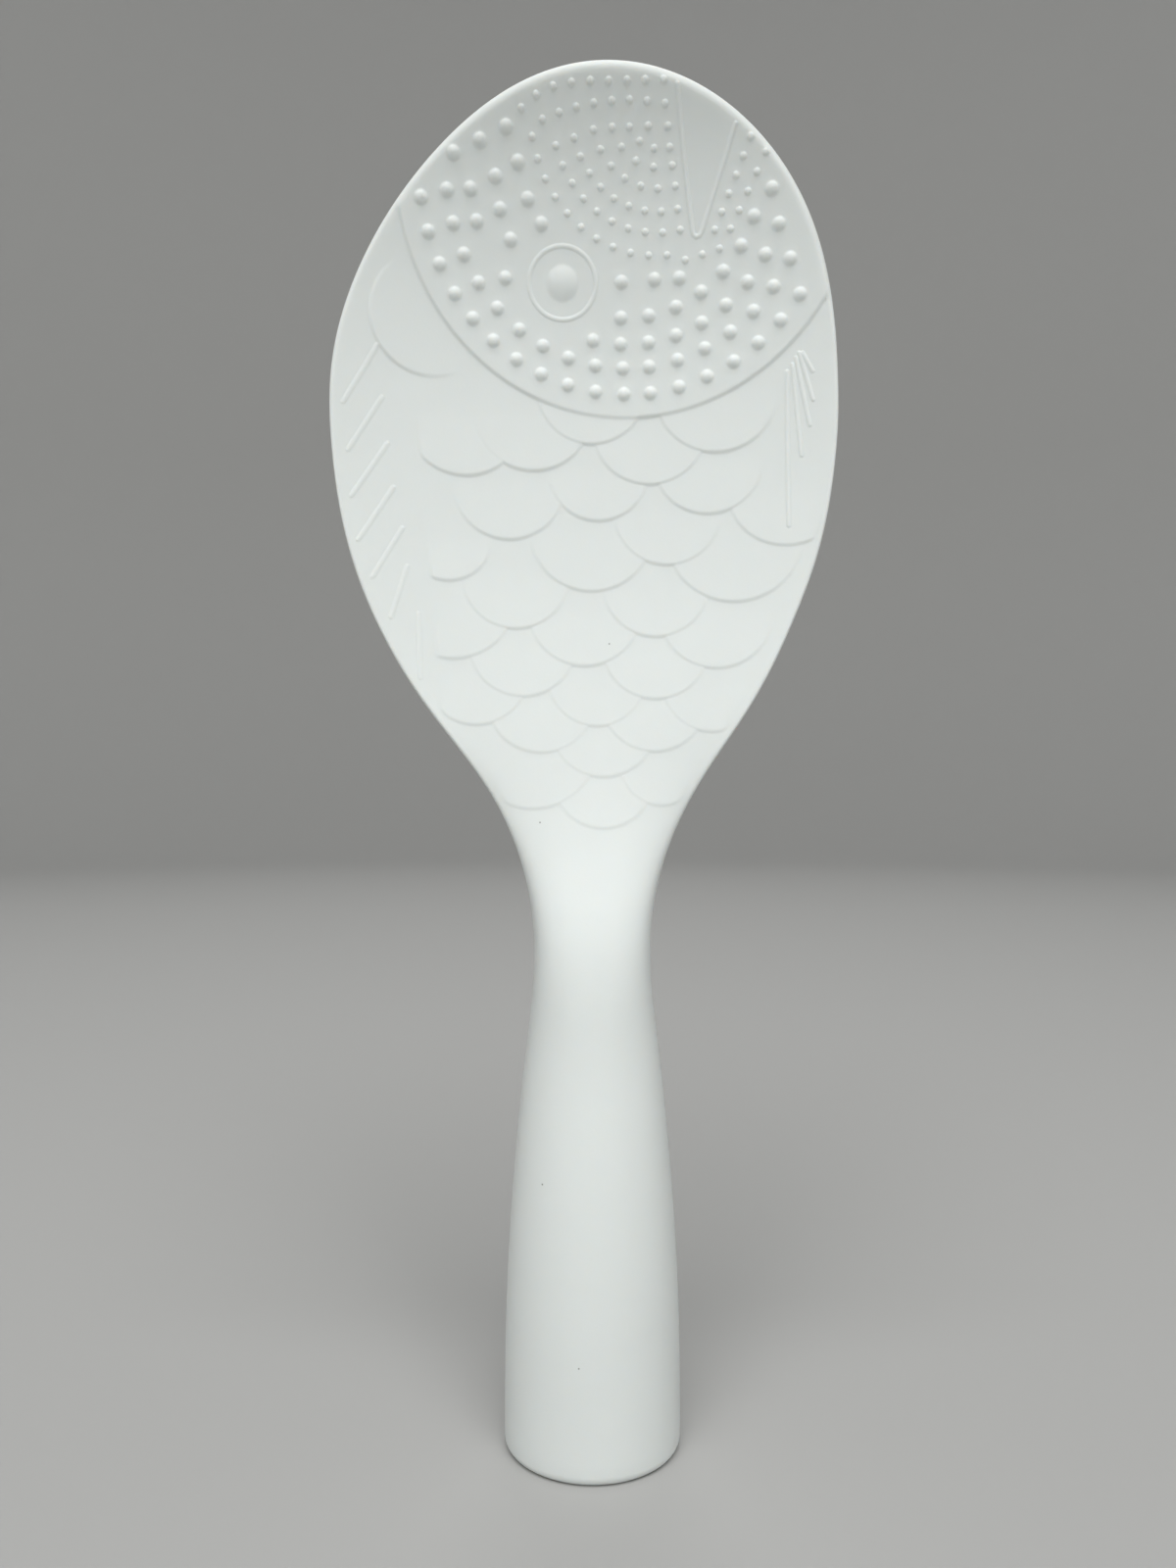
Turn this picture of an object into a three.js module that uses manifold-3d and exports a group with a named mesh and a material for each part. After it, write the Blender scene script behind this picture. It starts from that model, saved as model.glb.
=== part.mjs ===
// A rice paddle that stands by itself: one white moulding with a scooped blade, a neck and a hollow round
// handle, a steel weight in the foot of the handle, and a plug that closes the foot from below.
// Millimetres, +Z up the handle, the base on z = 0, the front of the blade towards -Y.

import * as THREE from 'three';
import { mergeVertices } from 'three/addons/utils/BufferGeometryUtils.js';
import Module from 'manifold-3d';

// Handle
const BASE_RADIUS = 13.5;
const BASE_FILLET = 1.5;
const NECK_HEIGHT = 77; // base to the narrowest row
const NECK_WIDTH = 18;
const NECK_THICKNESS = 15.2;

// Blade
const BLADE_WIDTH = 79.9;
const SHOULDER_RISE = 83.5; // narrowest row to the widest row
const TIP_RISE = 49.5; // widest row to the tip
const BLADE_THICKNESS = 3;
const TIP_THICKNESS = 2.4;
const RIM_THICKNESS = 1.8;
const RIM_NOSE = 2.2; // width of the rounding along the rim
const RIM_TAPER = 14; // width over which the rim grows to the full thickness
const SCOOP_DEPTH = 8.7; // middle of the blade, behind the axis of the handle
const TIP_REACH = 5.3; // tip of the blade, in front of that axis
const DISH_RADIUS = 160; // curve of the blade from side to side
const BELLY_SWAY = 1.35; // sideways lean of the outline, to the left at its widest
const TIP_SWAY = 2.1; // and to the right at its tip
const TIP_FULLNESS = 2.1; // 2 is an ellipse, more is squarer

// Where the blade changes its form, as shares of the way up the shoulder or, to the right, up the tip
const LEFT_SWAY_SPAN = [0.22, 0.66];
const RIGHT_SWAY_SPAN = [0.12, 0.96];
const DISH_SPAN = [0.1, 0.4];
const FLATTEN_SPAN = [0.04, 0.42];

// Foot: plug, weight and the hollow that holds them
const CLEARANCE = 0.3;
const FOOT_RIM = 2.3; // ring of the moulding round the plug
const PLUG_THICKNESS = 2;
const PLUG_LEDGE = 0.9; // step that stops the plug
const SPIGOT_HEIGHT = 4;
const SPIGOT_WALL = 2;
const WEIGHT_LENGTH = 15;
const WEIGHT_CHAMFER = 0.8;
const WEIGHT_SHOULDER = 3.6; // step above the weight
const CORE_STOP = 15; // top of the hollow, below the neck
const CORE_WALL = 4.6; // wall round the top of the hollow

// Relief on the front: a fish with its head at the tip of the blade
const HEAD_ACROSS = 5.6; // centre of the gill edge, right of the axis
const HEAD_BELOW_TIP = 14;
const GILL_RADIUS = 35.9;
const HEAD_RISE = 0.45;
const HEAD_FADE = 3; // width over which the raised head sinks into the rim
const RIM_LIP = 2.6; // plain band along the rim
const RELIEF_ROOT = 0.1; // least depth to which the relief is rooted in the blade
const DOME_RADIUS = 1.1;
const DOME_RISE = 0.8;
const DOME_LAND = 1.2; // least distance from a dome to the rim
const DOME_PITCH = 4.55;
const DOME_SHIFT = 0.9; // start of each arc, left of the lowest point of the head
const DOME_INSET = 3.6; // gill edge to the first arc of domes
const DOME_ROW = 3.85; // one arc of domes to the next
const CHEEK_DOMES = 3; // short row beside the top of the head
const CHEEK_ACROSS = -21.3;
const CHEEK_BELOW_TIP = 12.1;
const CHEEK_STEP = [4.05, 1.85];
const RIDGE_RADIUS = 0.35; // half width of the lines of the eye, the mouth and the fins
const EYE_ACROSS = -4.75;
const EYE_BELOW_TIP = 29.3;
const EYE_RADIUS = 5.35;
const PUPIL_RADIUS = 2.5;
const PUPIL_RISE = 1;
const MOUTH_CORNER = [16.2, -23.4]; // across from the axis, and below the tip
const MOUTH_ENDS = [[12.8, -3.8], [21.7, -8.9]];
const SCALE_RADIUS = 8.6;
const SCALE_RISE = 0.4;
const SCALE_LEFT = 24.6; // left edge of the scales, from the axis
const LOBE_ACROSS = -25.4; // large scale beside the gill edge
const LOBE_BELOW_TIP = 34.8;
const LOBE_RADIUS = 9.4;
const FIN_STROKES = 7;
const FIN_BELOW_TIP = 39.8; // start of the first stroke of the left fin
const FIN_PITCH = 7.05;
const FIN_DROP = 8.7;
const FIN_START = 8.2; // in from the rim
const FIN_END = 2.6;
const FAN_BELOW_TIP = 43.7; // start of the longest stroke of the right fin
const FAN_START = 7.8; // in from the rim
const FAN_STEP = [0.55, 0.7];
const FAN_LENGTHS = [24.3, 14.2, 10.7, 7.6, 3.4];
const FAN_LEAN = 1; // degrees of the longest stroke from upright
const FAN_TURN = 6; // degrees from one stroke to the next

// Columns of scales, left to right: distance from the axis, and the lowest points above the neck
const SCALE_COLUMNS = [
  [-21, [73.5, 56.5, 44, 33.5]],
  [-11, [74.5, 63, 49, 38, 29, 20.5]],
  [0.5, [78.7, 66.4, 55, 43, 33.3, 25.3, 17.4]],
  [10.3, [72.2, 59.2, 47.6, 37.6, 29.3, 21]],
  [19.8, [77, 67.3, 53, 42.5, 32.4]],
  [31, [62]],
];

// Arcs of domes from the gill edge in, as spans of places along each arc, left of its start is minus
const DOME_SPANS = [
  [[-10, 7]],
  [[-9, 7]],
  [[-8, -7], [-5, -5], [-1, 7]],
  [[-7, -5], [0, 7]],
  [[-6, -4], [0, 2]],
];

// Shares of the way up, with the share of the change in size reached there
const HANDLE_SHAPE = [[0.3, 0.935], [0.45, 0.804], [0.61, 0.587], [0.77, 0.304], [0.88, 0.08], [1, 0]];
const SHOULDER_SHAPE = [
  [0.144, 0.068], [0.291, 0.253], [0.438, 0.533], [0.587, 0.757], [0.73, 0.902], [0.886, 0.981], [1, 1],
];
const THINNING_SHAPE = [[0, 1], [0.12, 0.656], [0.24, 0.369], [0.395, 0.172], [0.6, 0.041], [0.875, 0]];
const LEAN_SHAPE = [[0, 0.126], [0.12, 0.287], [0.24, 0.454], [0.395, 0.644], [0.6, 0.868], [0.875, 1]];
const CURL_SHAPE = [[0.212, 0.089], [0.596, 0.386], [1, 1]];
const ROUND_HANDLE = 0.77; // share of the neck's height up to which the handle is round

const WIDEST_HEIGHT = NECK_HEIGHT + SHOULDER_RISE;
const TIP_HEIGHT = WIDEST_HEIGHT + TIP_RISE;

const wasm = await Module();
wasm.setup();

// Smooth step from 0 at `from` to 1 at `to`.
function ease(value, from, to) {
  return THREE.MathUtils.smoothstep(value, from, to);
}

// The same over a span of shares of the way up from a foot.
function easeOver(z, foot, rise, [from, to]) {
  return ease(z, foot + from * rise, foot + to * rise);
}

// Smooth curve through [place, value] knots, level at its first knot and, if asked, at its last.
function smoothCurve(knots, levelEnd) {
  const last = knots.length - 1;
  const slopes = knots.map(() => 0);
  const span = (i) => knots[i + 1][0] - knots[i][0];
  const rise = (i) => knots[i + 1][1] - knots[i][1];
  const SWEEPS = 60;
  for (let sweep = 0; sweep < SWEEPS; sweep++) {
    for (let i = 1; i < last; i++) {
      const before = 1 / span(i - 1);
      const after = 1 / span(i);
      const pull = 3 * (rise(i - 1) * before * before + rise(i) * after * after);
      slopes[i] = (pull - before * slopes[i - 1] - after * slopes[i + 1]) / (2 * (before + after));
    }
    if (!levelEnd) {
      slopes[last] = (3 * rise(last - 1) / span(last - 1) - slopes[last - 1]) / 2;
    }
  }
  return (place) => {
    const found = knots.findIndex((knot) => knot[0] > place);
    const i = found < 0 ? last - 1 : Math.max(0, found - 1);
    const t = Math.min(1, Math.max(0, (place - knots[i][0]) / span(i)));
    const start = (1 + 2 * t) * (1 - t) ** 2 * knots[i][1] + t * (1 - t) ** 2 * span(i) * slopes[i];
    const end = t * t * (3 - 2 * t) * knots[i + 1][1] + t * t * (t - 1) * span(i) * slopes[i + 1];
    return start + end;
  };
}

// Knots of a shape list, spread from a first place and value to a last place and value.
function knotsOf(shape, fromPlace, toPlace, atZero, atOne) {
  return shape.map(([share, change]) => [
    THREE.MathUtils.lerp(fromPlace, toPlace, share),
    THREE.MathUtils.lerp(atZero, atOne, change),
  ]);
}

const handleKnots = knotsOf(HANDLE_SHAPE, 0, NECK_HEIGHT, NECK_WIDTH / 2, BASE_RADIUS);
const lowerHalfWidth = smoothCurve([
  [0, BASE_RADIUS],
  ...handleKnots,
  ...knotsOf(SHOULDER_SHAPE, NECK_HEIGHT, WIDEST_HEIGHT, NECK_WIDTH / 2, BLADE_WIDTH / 2),
], true);
const halfDepth = smoothCurve([
  [0, BASE_RADIUS],
  ...handleKnots.filter(([place]) => place <= ROUND_HANDLE * NECK_HEIGHT),
  ...knotsOf(THINNING_SHAPE, NECK_HEIGHT, WIDEST_HEIGHT, BLADE_THICKNESS / 2, NECK_THICKNESS / 2),
  [TIP_HEIGHT, TIP_THICKNESS / 2],
], false);
const setBack = smoothCurve([
  [0, 0],
  [ROUND_HANDLE * NECK_HEIGHT, 0],
  ...knotsOf(LEAN_SHAPE, NECK_HEIGHT, WIDEST_HEIGHT, 0, SCOOP_DEPTH),
  ...knotsOf(CURL_SHAPE, WIDEST_HEIGHT, TIP_HEIGHT, SCOOP_DEPTH, -TIP_REACH),
], false);

// Outline seen from the front: half width, and how far its middle sways from the axis.
function halfWidth(z) {
  if (z <= WIDEST_HEIGHT) {
    return lowerHalfWidth(z);
  }
  const share = Math.min(1, (z - WIDEST_HEIGHT) / TIP_RISE);
  return (BLADE_WIDTH / 2) * Math.sqrt(1 - share ** TIP_FULLNESS);
}

function sway(z) {
  const left = easeOver(z, NECK_HEIGHT, SHOULDER_RISE, LEFT_SWAY_SPAN);
  const right = easeOver(z, WIDEST_HEIGHT, TIP_RISE, RIGHT_SWAY_SPAN);
  return right * (BELLY_SWAY + TIP_SWAY) - left * BELLY_SWAY;
}

// Middle of the thickness: the blade leans back, curls forward at the tip and is dished from side to side.
function middle(x, z) {
  const dished = easeOver(z, NECK_HEIGHT, SHOULDER_RISE, DISH_SPAN);
  return setBack(z) - dished * x * x / (2 * DISH_RADIUS);
}

// Outline of the blade as points, up the left side and down the right.
function outlineOf() {
  const STEPS = 80;
  const heights = [];
  for (let i = 0; i < STEPS; i++) {
    heights.push(NECK_HEIGHT + SHOULDER_RISE * i / STEPS);
  }
  for (let i = 0; i <= STEPS; i++) {
    heights.push(WIDEST_HEIGHT + TIP_RISE * Math.sin((Math.PI / 2) * i / STEPS));
  }
  const left = heights.map((z) => new THREE.Vector2(sway(z) - halfWidth(z), z));
  const right = heights.map((z) => new THREE.Vector2(sway(z) + halfWidth(z), z));
  return [...left, ...right.reverse()];
}

const outline = outlineOf();

function rimDistance(x, z) {
  const point = new THREE.Vector3(x, 0, z);
  const nearest = new THREE.Vector3();
  const edge = new THREE.Line3();
  let least = Infinity;
  for (let i = 1; i < outline.length; i++) {
    edge.start.set(outline[i - 1].x, 0, outline[i - 1].y);
    edge.end.set(outline[i].x, 0, outline[i].y);
    edge.closestPointToPoint(point, true, nearest);
    least = Math.min(least, nearest.distanceTo(point));
  }
  return least;
}

// Half thickness: round in the handle, a plate with a rounded rim in the blade.
function halfThickness(x, z) {
  const across = halfWidth(z) > 0 ? (x - sway(z)) / halfWidth(z) : 1;
  const round = halfDepth(z) * Math.sqrt(Math.max(0, 1 - across * across));
  const flat = easeOver(z, NECK_HEIGHT, SHOULDER_RISE, FLATTEN_SPAN);
  if (flat === 0) {
    return round;
  }
  const inset = rimDistance(x, z);
  const nose = Math.sqrt(1 - (1 - Math.min(1, inset / RIM_NOSE)) ** 2);
  const rim = RIM_THICKNESS / 2;
  const plate = rim * nose + (halfDepth(z) - rim) * ease(inset, 0, RIM_TAPER);
  return THREE.MathUtils.lerp(round, plate, flat);
}

function frontOf(x, z) {
  return middle(x, z) - halfThickness(x, z);
}

// A closed mesh without its normals becomes a solid that can be joined and cut.
function solidOf(geometry) {
  geometry.deleteAttribute('normal');
  geometry.deleteAttribute('uv');
  const SAME_POINT = 1e-5;
  const merged = mergeVertices(geometry, SAME_POINT);
  const corners = merged.index.array;
  const kept = [];
  for (let i = 0; i < corners.length; i += 3) {
    const [a, b, c] = corners.slice(i, i + 3);
    if (a !== b && b !== c && c !== a) {
      kept.push(a, b, c);
    }
  }
  return new wasm.Manifold(new wasm.Mesh({
    numProp: 3,
    vertProperties: new Float32Array(merged.attributes.position.array),
    triVerts: new Uint32Array(kept),
  }));
}

function geometryOf(solid) {
  const mesh = solid.getMesh();
  const geometry = new THREE.BufferGeometry();
  geometry.setAttribute('position', new THREE.BufferAttribute(mesh.vertProperties, 3));
  geometry.setIndex(new THREE.BufferAttribute(mesh.triVerts, 1));
  geometry.computeVertexNormals();
  return geometry;
}

// Rings of points, lowest or innermost first, closed at both ends by a single point.
function ringSolid(firstPoint, rings, lastPoint) {
  const count = rings[0].length;
  const points = [firstPoint, ...rings.flat(), lastPoint];
  const corners = [];
  const at = (ring, i) => 1 + ring * count + (i % count);
  for (let i = 0; i < count; i++) {
    corners.push(0, at(0, i + 1), at(0, i));
    corners.push(points.length - 1, at(rings.length - 1, i), at(rings.length - 1, i + 1));
    for (let ring = 1; ring < rings.length; ring++) {
      corners.push(at(ring - 1, i), at(ring - 1, i + 1), at(ring, i + 1));
      corners.push(at(ring - 1, i), at(ring, i + 1), at(ring, i));
    }
  }
  const geometry = new THREE.BufferGeometry();
  geometry.setAttribute('position', new THREE.Float32BufferAttribute(points.flat(), 3));
  geometry.setIndex(corners);
  return solidOf(geometry);
}

// Profile of [radius, height] points turned round the Z axis.
function turned(profile, sides) {
  const points = profile.map(([radius, height]) => new THREE.Vector2(radius, height));
  const geometry = new THREE.LatheGeometry(points, sides);
  geometry.rotateX(Math.PI / 2);
  return geometry;
}

// The moulding without its hollow or its relief
const RING_SIDES = 36;
const FILLET_ROWS = 3;
const HANDLE_ROWS = 10;
const SHOULDER_ROWS = 14;
const TIP_ROWS = 9;

function bodyHeights() {
  const heights = [];
  for (let i = 0; i < FILLET_ROWS; i++) {
    heights.push(BASE_FILLET * (1 - Math.cos((Math.PI / 2) * i / FILLET_ROWS)));
  }
  for (let i = 0; i < HANDLE_ROWS; i++) {
    heights.push(THREE.MathUtils.lerp(BASE_FILLET, NECK_HEIGHT, i / HANDLE_ROWS));
  }
  for (let i = 0; i < SHOULDER_ROWS; i++) {
    heights.push(NECK_HEIGHT + SHOULDER_RISE * i / SHOULDER_ROWS);
  }
  for (let i = 0; i < TIP_ROWS; i++) {
    heights.push(WIDEST_HEIGHT + TIP_RISE * Math.sin((Math.PI / 2) * i / TIP_ROWS));
  }
  return heights;
}

function bodyRing(z) {
  const lift = Math.max(0, BASE_FILLET - z);
  const footInset = BASE_FILLET - Math.sqrt(BASE_FILLET ** 2 - lift ** 2);
  const ring = [];
  for (let i = 0; i < RING_SIDES; i++) {
    const turn = 2 * Math.PI * i / RING_SIDES;
    const x = sway(z) + halfWidth(z) * Math.sin(turn);
    const y = middle(x, z) - Math.sign(Math.cos(turn)) * halfThickness(x, z);
    const shrink = 1 - footInset / BASE_RADIUS;
    ring.push([x * shrink, y * shrink, z]);
  }
  return ring;
}

function bodyBlank() {
  const tip = [sway(TIP_HEIGHT), middle(sway(TIP_HEIGHT), TIP_HEIGHT), TIP_HEIGHT];
  return ringSolid([0, 0, 0], bodyHeights().map(bodyRing), tip);
}

// The foot, from the outside in and from the base up
const plugRadius = BASE_RADIUS - FOOT_RIM - CLEARANCE;
const weightRadius = plugRadius - PLUG_LEDGE - CLEARANCE;
const weightBottom = PLUG_THICKNESS + SPIGOT_HEIGHT + CLEARANCE;
const weightTop = weightBottom + WEIGHT_LENGTH;
const TURNED_SIDES = 36;

// Hollow of the handle: seat of the plug, chamber of the weight, and a tapered core with a round end.
function handleHollow() {
  const seat = plugRadius + CLEARANCE;
  const chamber = weightRadius + CLEARANCE;
  const core = chamber - WEIGHT_SHOULDER;
  const coreTop = NECK_HEIGHT - CORE_STOP;
  const coreEnd = halfWidth(coreTop) - CORE_WALL;
  const END_STEPS = 4;
  const profile = [
    [0, -PLUG_THICKNESS],
    [seat, -PLUG_THICKNESS],
    [seat, PLUG_THICKNESS + CLEARANCE],
    [chamber, PLUG_THICKNESS + CLEARANCE],
    [chamber, weightTop + CLEARANCE],
    [core, weightTop + CLEARANCE],
  ];
  for (let i = 0; i <= END_STEPS; i++) {
    const turn = (Math.PI / 2) * i / END_STEPS;
    profile.push([i < END_STEPS ? coreEnd * Math.cos(turn) : 0, coreTop - coreEnd * (1 - Math.sin(turn))]);
  }
  return solidOf(turned(profile, TURNED_SIDES));
}

function steelWeight() {
  return turned([
    [0, 0],
    [weightRadius - WEIGHT_CHAMFER, 0],
    [weightRadius, WEIGHT_CHAMFER],
    [weightRadius, WEIGHT_LENGTH - WEIGHT_CHAMFER],
    [weightRadius - WEIGHT_CHAMFER, WEIGHT_LENGTH],
    [0, WEIGHT_LENGTH],
  ], TURNED_SIDES);
}

// Plug: a flat lid with a short tube above it that carries the weight.
function basePlug() {
  return turned([
    [0, 0],
    [plugRadius, 0],
    [plugRadius, PLUG_THICKNESS],
    [weightRadius, PLUG_THICKNESS],
    [weightRadius, PLUG_THICKNESS + SPIGOT_HEIGHT],
    [weightRadius - SPIGOT_WALL, PLUG_THICKNESS + SPIGOT_HEIGHT],
    [weightRadius - SPIGOT_WALL, PLUG_THICKNESS],
    [0, PLUG_THICKNESS],
  ], TURNED_SIDES);
}

// Facets of the relief, and the rings of a dome as shares of its radius
const DOME_SIDES = 6;
const DOME_RINGS = [0.85];
const PUPIL_SIDES = 12;
const PUPIL_RINGS = [0.95, 0.6];
const EYE_SIDES = 24;
const SCALE_SIDES = 16;
const GILL_SIDES = 60;
const RIDGE_SIDES = 4;
const MOUTH_PLACES = 6; // along one side of the mouth
const MOUTH_STEPS = 12;
const STROKE_PLACES = 3; // along one stroke of a fin
const STROKE_STEPS = 2;

const headHeight = TIP_HEIGHT - HEAD_BELOW_TIP;
const rootDepth = SCALE_RISE + RELIEF_ROOT;

// Height of the raised head above the plain blade.
function headRise(x, z) {
  const inside = Math.hypot(x - HEAD_ACROSS, z - headHeight) < GILL_RADIUS;
  return inside ? HEAD_RISE * ease(rimDistance(x, z), RIM_LIP, RIM_LIP + HEAD_FADE) : 0;
}

// A pad on the front of the blade: rings round a middle point, each a share of the radius, with the height
// that `rise` gives above the surface there, closed by a flat side sunk in the blade.
function pad(x, z, radius, shares, sides, rise) {
  const ringAt = (share, height) => {
    const ring = [];
    for (let i = 0; i < sides; i++) {
      const turn = 2 * Math.PI * i / sides;
      const px = x + radius * share * Math.sin(turn);
      const pz = z - radius * share * Math.cos(turn);
      ring.push([px, frontOf(px, pz) - height(share, turn), pz]);
    }
    return ring;
  };
  const sunk = () => -rootDepth;
  const rings = [ringAt(1, sunk), ...shares.map((share) => ringAt(share, rise))];
  return ringSolid([x, frontOf(x, z) + rootDepth, z], rings, [x, frontOf(x, z) - rise(0, 0), z]);
}

// Dome: a cap of a sphere, standing on the raised head.
function dome(x, z, radius, height, shares, sides) {
  const base = headRise(x, z);
  return pad(x, z, radius, shares, sides, (share) => base + height * Math.sqrt(1 - share * share));
}

// The head: the front of the blade, raised, inside the gill edge and inside the rim.
function headPlate() {
  const SIDES = 28;
  const ROWS = 10;
  const lowest = headHeight - GILL_RADIUS - HEAD_FADE;
  const highest = TIP_HEIGHT - RIM_LIP / 2;
  const inner = (x) => x * (1 - RIM_LIP / BLADE_WIDTH);
  const rings = [];
  for (let row = 0; row <= ROWS; row++) {
    const z = THREE.MathUtils.lerp(lowest, highest, Math.sin((Math.PI / 2) * row / ROWS));
    const ring = [];
    for (let i = 0; i < SIDES; i++) {
      const turn = 2 * Math.PI * i / SIDES;
      const x = sway(z) + inner(halfWidth(z)) * Math.sin(turn);
      const inside = ease(rimDistance(x, z), RIM_LIP, RIM_LIP + HEAD_FADE);
      const raised = inside * (HEAD_RISE + rootDepth) - rootDepth;
      const front = Math.min(middle(x, z), frontOf(x, z) - raised);
      const onFront = Math.min(i, SIDES - i) < SIDES / 4;
      ring.push([x, onFront ? front : middle(x, z) + RELIEF_ROOT, z]);
    }
    rings.push(ring);
  }
  const endOf = (z) => [sway(z), middle(sway(z), z), z];
  const blade = ringSolid(endOf(lowest), rings, endOf(highest));
  const gill = new THREE.CylinderGeometry(GILL_RADIUS, GILL_RADIUS, BLADE_WIDTH, GILL_SIDES);
  gill.translate(HEAD_ACROSS, 0, headHeight);
  return blade.intersect(solidOf(gill));
}

// Domes in arcs round the centre of the head, and a short row beside its top.
function domePlaces() {
  const places = [];
  DOME_SPANS.forEach((spans, arc) => {
    const radius = GILL_RADIUS - DOME_INSET - arc * DOME_ROW;
    spans.forEach(([first, last]) => {
      for (let i = first; i <= last; i++) {
        const turn = (i * DOME_PITCH - DOME_SHIFT) / radius;
        places.push([HEAD_ACROSS + radius * Math.sin(turn), headHeight - radius * Math.cos(turn)]);
      }
    });
  });
  for (let i = 0; i < CHEEK_DOMES; i++) {
    places.push([CHEEK_ACROSS + i * CHEEK_STEP[0], TIP_HEIGHT - CHEEK_BELOW_TIP + i * CHEEK_STEP[1]]);
  }
  return places.filter(([x, z]) => z < TIP_HEIGHT && rimDistance(x, z) > DOME_LAND + DOME_RADIUS);
}

// Point on the raised front.
function frontPoint(x, z) {
  return new THREE.Vector3(x, frontOf(x, z) - headRise(x, z), z);
}

// A raised line along points on the front.
function ridge(places, steps) {
  const corners = [];
  for (let i = 0; i < RIDGE_SIDES; i++) {
    const turn = 2 * Math.PI * i / RIDGE_SIDES;
    corners.push(new THREE.Vector2(RIDGE_RADIUS * Math.cos(turn), RIDGE_RADIUS * Math.sin(turn)));
  }
  const section = new THREE.Shape(corners);
  const path = new THREE.CatmullRomCurve3(places.map(([x, z]) => frontPoint(x, z)), false, 'centripetal');
  return solidOf(new THREE.ExtrudeGeometry(section, { steps, extrudePath: path }));
}

// Places along a straight stroke.
function strokePlaces(start, end, count) {
  const places = [];
  for (let i = 0; i <= count; i++) {
    places.push([
      THREE.MathUtils.lerp(start[0], end[0], i / count),
      THREE.MathUtils.lerp(start[1], end[1], i / count),
    ]);
  }
  return places;
}

function mouth() {
  const ROUNDING = 0.03; // share of each side that the rounded corner takes
  const fromTip = ([x, below]) => [x, TIP_HEIGHT + below];
  const corner = fromTip(MOUTH_CORNER);
  const [left, right] = MOUTH_ENDS.map(fromTip).map((end) => strokePlaces(end, corner, MOUTH_PLACES));
  const near = (side) => side.slice(0, -1);
  const eased = (side) => strokePlaces(corner, side[0], 1 / ROUNDING)[1];
  return ridge([...near(left), eased(left), eased(right), ...near(right).reverse()], MOUTH_STEPS);
}

function leftFin() {
  const strokes = [];
  const leftEdge = (z, inset) => [sway(z) - halfWidth(z) + inset, z];
  for (let i = 0; i < FIN_STROKES; i++) {
    const top = TIP_HEIGHT - FIN_BELOW_TIP - i * FIN_PITCH;
    const start = leftEdge(top, FIN_START);
    const end = leftEdge(top - FIN_DROP, FIN_END);
    strokes.push(ridge(strokePlaces(start, end, STROKE_PLACES), STROKE_STEPS));
  }
  return strokes;
}

function rightFin() {
  const first = TIP_HEIGHT - FAN_BELOW_TIP;
  return FAN_LENGTHS.map((length, i) => {
    const turn = THREE.MathUtils.degToRad(FAN_LEAN + i * FAN_TURN);
    const start = [sway(first) + halfWidth(first) - FAN_START + i * FAN_STEP[0], first + i * FAN_STEP[1]];
    const end = [start[0] + length * Math.sin(turn), start[1] - length * Math.cos(turn)];
    return ridge(strokePlaces(start, end, STROKE_PLACES), STROKE_STEPS);
  });
}

function eye() {
  const z = TIP_HEIGHT - EYE_BELOW_TIP;
  const REACH = EYE_RADIUS / 2;
  const across = frontPoint(EYE_ACROSS + REACH, z).sub(frontPoint(EYE_ACROSS - REACH, z)).normalize();
  const up = frontPoint(EYE_ACROSS, z + REACH).sub(frontPoint(EYE_ACROSS, z - REACH)).normalize();
  const outward = new THREE.Vector3().crossVectors(across, up);
  const place = new THREE.Matrix4().makeBasis(across, up, outward);
  place.setPosition(frontPoint(EYE_ACROSS, z));
  const ring = new THREE.TorusGeometry(EYE_RADIUS, RIDGE_RADIUS, RIDGE_SIDES, EYE_SIDES);
  ring.applyMatrix4(place);
  const pupil = dome(EYE_ACROSS, z, PUPIL_RADIUS, PUPIL_RISE, PUPIL_RINGS, PUPIL_SIDES);
  return [solidOf(ring), pupil];
}

// Scale: a disc that rises towards its lower edge and sinks into the blade above its middle.
function scale(x, lowest, radius, facing) {
  const rise = (share, turn) => SCALE_RISE * share * Math.cos(turn - facing);
  return pad(x, lowest + radius, radius, [1], SCALE_SIDES, rise);
}

// Field of the scales: inside the rim, and right of the left fin.
function scaleField() {
  const STEPS = 16;
  const lowest = NECK_HEIGHT + RIM_TAPER;
  const left = [];
  const right = [];
  for (let i = 0; i <= STEPS; i++) {
    const z = THREE.MathUtils.lerp(lowest, WIDEST_HEIGHT + RIM_TAPER, i / STEPS);
    const reach = halfWidth(z) - RIM_LIP;
    left.push(new THREE.Vector2(Math.max(sway(z) - reach, -SCALE_LEFT), z));
    right.push(new THREE.Vector2(sway(z) + reach, z));
  }
  const field = new THREE.Shape([...left.reverse(), ...right]);
  const geometry = new THREE.ExtrudeGeometry(field, { depth: BLADE_WIDTH, bevelEnabled: false });
  geometry.rotateX(Math.PI / 2);
  geometry.translate(0, BLADE_WIDTH / 2, 0);
  return solidOf(geometry);
}

function scales() {
  const discs = SCALE_COLUMNS.flatMap(([x, lowest]) => (
    lowest.map((rise) => scale(x, NECK_HEIGHT + rise, SCALE_RADIUS, 0))
  ));
  const field = joined(discs).intersect(scaleField());
  const FACING_LEFT = -Math.PI / 4;
  const lobe = scale(LOBE_ACROSS, TIP_HEIGHT - LOBE_BELOW_TIP - LOBE_RADIUS, LOBE_RADIUS, FACING_LEFT);
  return field.add(lobe);
}

function joined(solids) {
  return solids.reduce((whole, solid) => whole.add(solid));
}

const domes = domePlaces().map(([x, z]) => dome(x, z, DOME_RADIUS, DOME_RISE, DOME_RINGS, DOME_SIDES));
const relief = [scales(), headPlate(), ...domes, ...eye(), mouth(), ...leftFin(), ...rightFin()];
const paddleBody = joined([bodyBlank().subtract(handleHollow()), ...relief]);

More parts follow.
